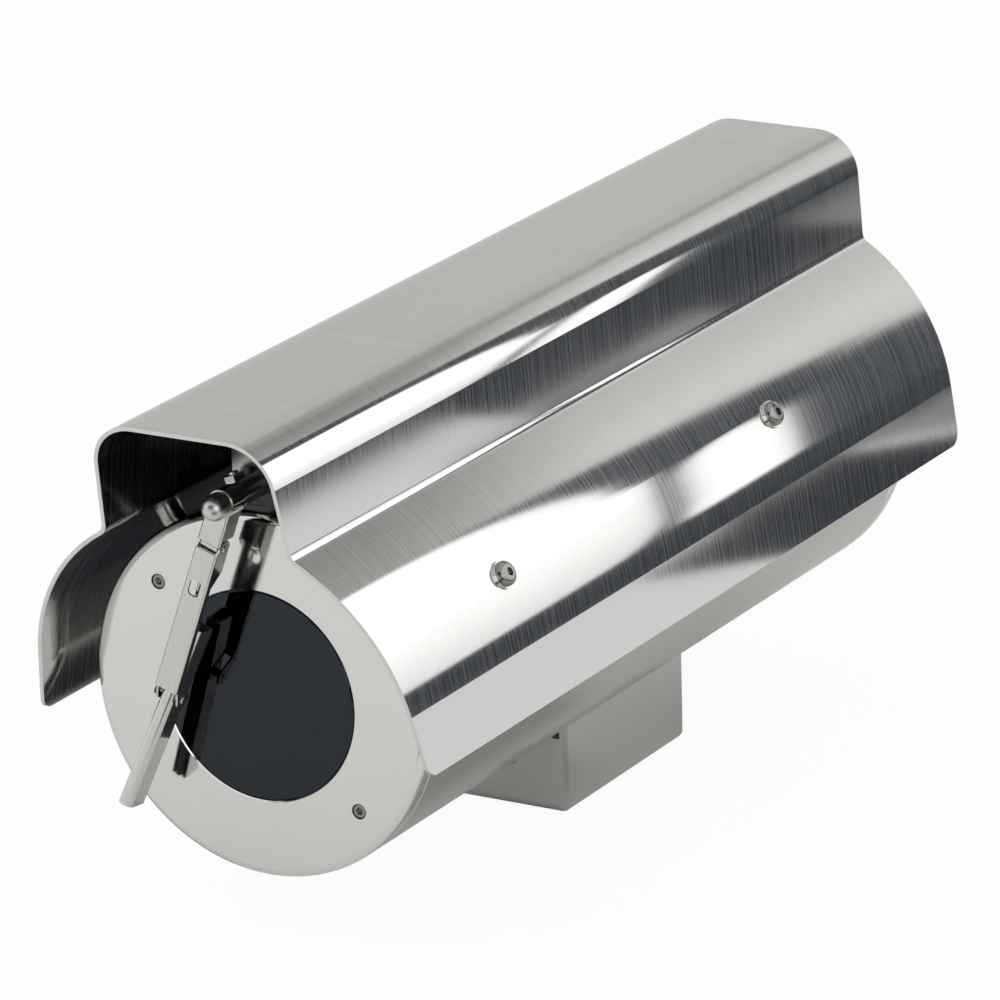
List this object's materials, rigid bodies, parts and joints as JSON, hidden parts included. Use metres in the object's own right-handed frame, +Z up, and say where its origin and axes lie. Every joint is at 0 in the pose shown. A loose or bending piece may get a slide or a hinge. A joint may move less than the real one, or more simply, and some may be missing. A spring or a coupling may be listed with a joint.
{
  "type": "stainless steel camera enclosure with wiper",
  "caption": "Cylindrical stainless steel enclosure for an outdoor camera, with a round front window, a driven window wiper, a folded sun shield over it and a base bracket.",
  "frame": {"origin": "centre of the four base holes on the underside of the base bracket", "axes": "+Z up, +Y back along the tube's axis, away from the window, +X to the right as seen from the window's side looking at it along +Y"},
  "size_m": [0.1606, 0.4464, 0.2084],
  "materials": {
    "brushed_tube": "satin ground round the tube",
    "polished_plate": "fine turned, nearly polished",
    "shield_steel": "polished sheet with a fine cross grain",
    "folded_steel": "satin sheet",
    "turned_steel": "turned",
    "arm_steel": "satin pressed sheet",
    "screw_steel": "bright stainless",
    "motor_case": "semi-matt black",
    "window_glass": "clear toughened glass",
    "seal_rubber": "matt",
    "wiper_rubber": "matt",
    "black_plastic": "matt black"
  },
  "bodies": {
    "housing": {"body_tube": "brushed_tube", "front_flange": "turned_steel", "rear_flange": "turned_steel", "front_plate": "polished_plate", "front_o_ring": "seal_rubber", "front_plate_screws": "screw_steel", "window_glass": "window_glass", "window_seal": "seal_rubber", "glass_retaining_ring": "turned_steel", "retaining_ring_screws": "screw_steel", "rear_cover": "polished_plate", "rear_o_ring": "seal_rubber", "rear_cover_screws": "screw_steel", "gland_bodies": "turned_steel", "gland_caps": "turned_steel", "gland_locknuts": "turned_steel", "gland_plugs": "seal_rubber", "sun_shield": "shield_steel", "shield_bosses": "turned_steel", "shield_screws": "screw_steel", "shield_washers": "screw_steel", "base_bracket": "folded_steel", "earth_boss": "turned_steel", "earth_washer": "screw_steel", "earth_screw": "screw_steel", "motor_hood": "folded_steel", "hood_studs": "screw_steel", "hood_washers": "screw_steel", "hood_nuts": "screw_steel", "gear_motor": "motor_case", "shaft_sleeve": "turned_steel"},
    "wiper_crank": {"wiper_shaft": "turned_steel", "wiper_head": "arm_steel", "dome_nut": "screw_steel", "arm_pivot_pin": "screw_steel"},
    "wiper_arm_body": {"wiper_arm": "arm_steel", "arm_spring": "screw_steel", "spring_hook": "screw_steel", "blade_pin": "screw_steel", "blade_pin_cap": "black_plastic"},
    "blade": {"blade_bush": "black_plastic", "blade_carrier": "arm_steel", "wiper_rubber": "wiper_rubber"}
  },
  "joints": [
    {"name": "wiper_swing", "type": "hinge", "parent": "housing", "child": "wiper_crank", "pos_m": [0, -0.2356, 0.1754], "axis": [0, -1, 0], "range_deg": [-10, 52]},
    {"name": "arm_lift", "type": "hinge", "parent": "wiper_crank", "child": "wiper_arm_body", "pos_m": [-0.0058, -0.2316, 0.15921], "axis": [-0.9415, 0, 0.3371], "range_deg": [0, 38], "stiffness_Nm_per_rad": 0.05, "springref_deg": -34.38},
    {"name": "blade_rock", "type": "hinge", "parent": "wiper_arm_body", "child": "blade", "pos_m": [-0.02724, -0.229, 0.09933], "axis": [-0.9415, 0, 0.3371], "range_deg": [0, 10]}
  ],
  "couplings": [
    {"joint": "blade_rock", "follows": "arm_lift", "ratio": 0.25}
  ]
}
